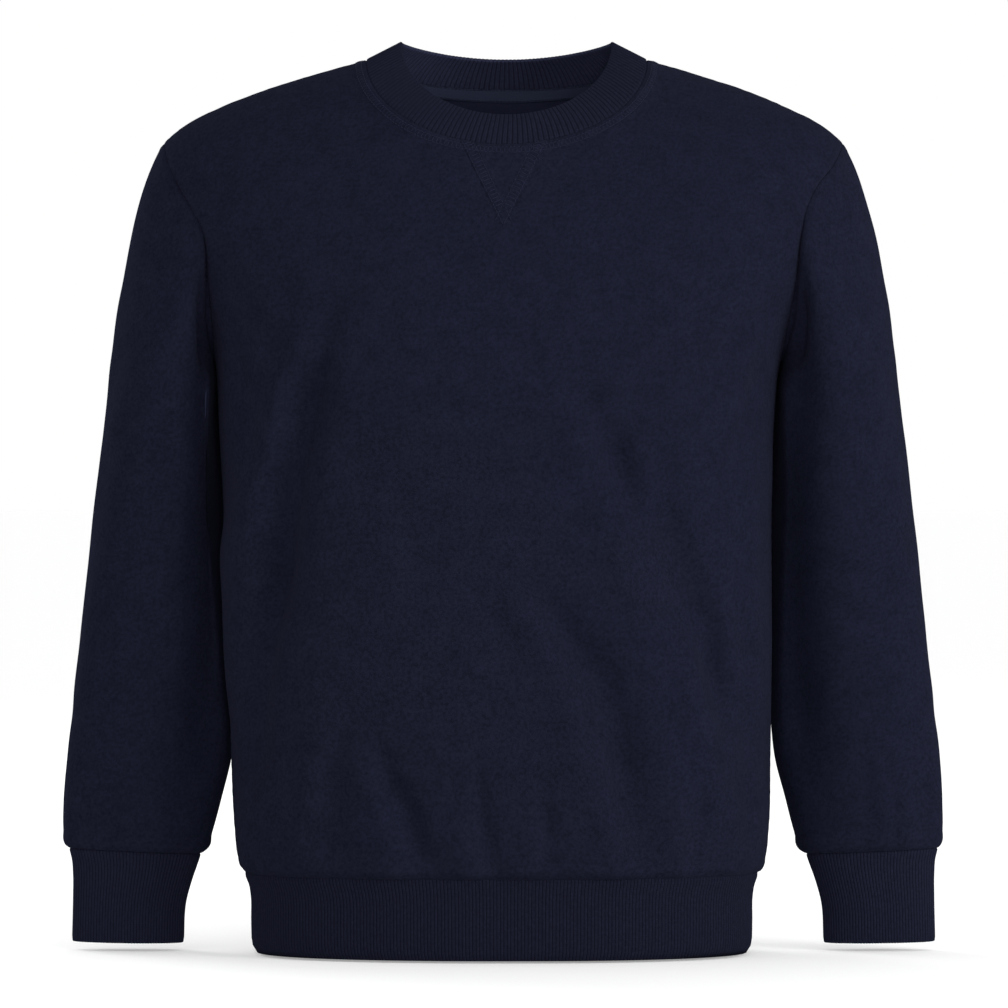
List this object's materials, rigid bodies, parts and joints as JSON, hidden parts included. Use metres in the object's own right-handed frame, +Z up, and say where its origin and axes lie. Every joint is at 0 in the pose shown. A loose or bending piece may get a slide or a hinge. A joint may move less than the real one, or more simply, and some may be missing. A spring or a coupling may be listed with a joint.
{
  "type": "crewneck sweatshirt",
  "caption": "Navy long-sleeved crewneck sweatshirt with a rib collar, cuffs and hem band and a V insert, filled out as if worn.",
  "frame": {"origin": "middle of the neck, level with the points where the shoulder seams meet the neck rib, where the wearer's shoulders hold the garment up", "axes": "+Z up, the front faces -Y, +X to the right of someone facing the front"},
  "size_m": [0.6886, 0.2556, 0.7074],
  "materials": {
    "fleece": "matte, softly brushed cotton sweatshirt jersey, dark navy",
    "rib": "matte cotton one-by-one rib knit, dark navy",
    "tape": "smooth twill neck tape, dark navy"
  },
  "bodies": {
    "root": {"front_panel": "fleece", "back_panel": "fleece", "sleeve_left": "fleece", "sleeve_right": "fleece", "cuff_left": "rib", "cuff_right": "rib", "hem_band": "rib", "neck_rib": "rib", "neck_insert": "fleece", "neck_tape": "tape"}
  },
  "joints": []
}
